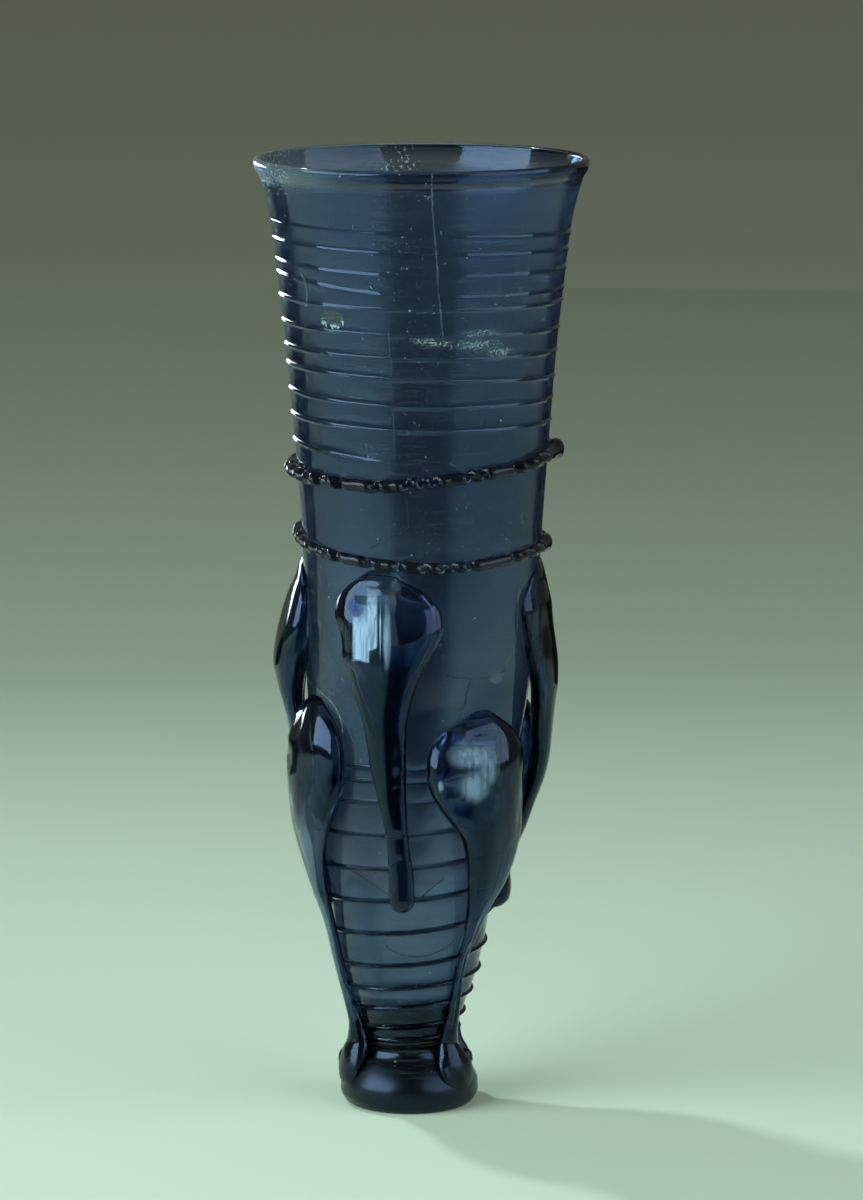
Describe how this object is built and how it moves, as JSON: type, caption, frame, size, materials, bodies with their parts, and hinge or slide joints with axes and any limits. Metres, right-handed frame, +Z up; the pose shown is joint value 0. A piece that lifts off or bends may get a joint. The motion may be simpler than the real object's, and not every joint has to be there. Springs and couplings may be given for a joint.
{
  "type": "claw beaker",
  "caption": "Tall conical drinking glass in cobalt blue on a small pad foot, with staggered rows of hollow trailing claws, notched coils and wound trails.",
  "frame": {"origin": "middle of the foot's flat underside, where the beaker stands", "axes": "+Z up through the mouth, -Y towards the viewer of the picture, +X to the viewer's right"},
  "size_m": [0.0872, 0.0866, 0.251],
  "materials": {
    "glass": "cobalt blue blown glass, glossy, lightly weathered and scratched"
  },
  "bodies": {
    "root": {"claw_beaker": "glass"}
  },
  "joints": []
}
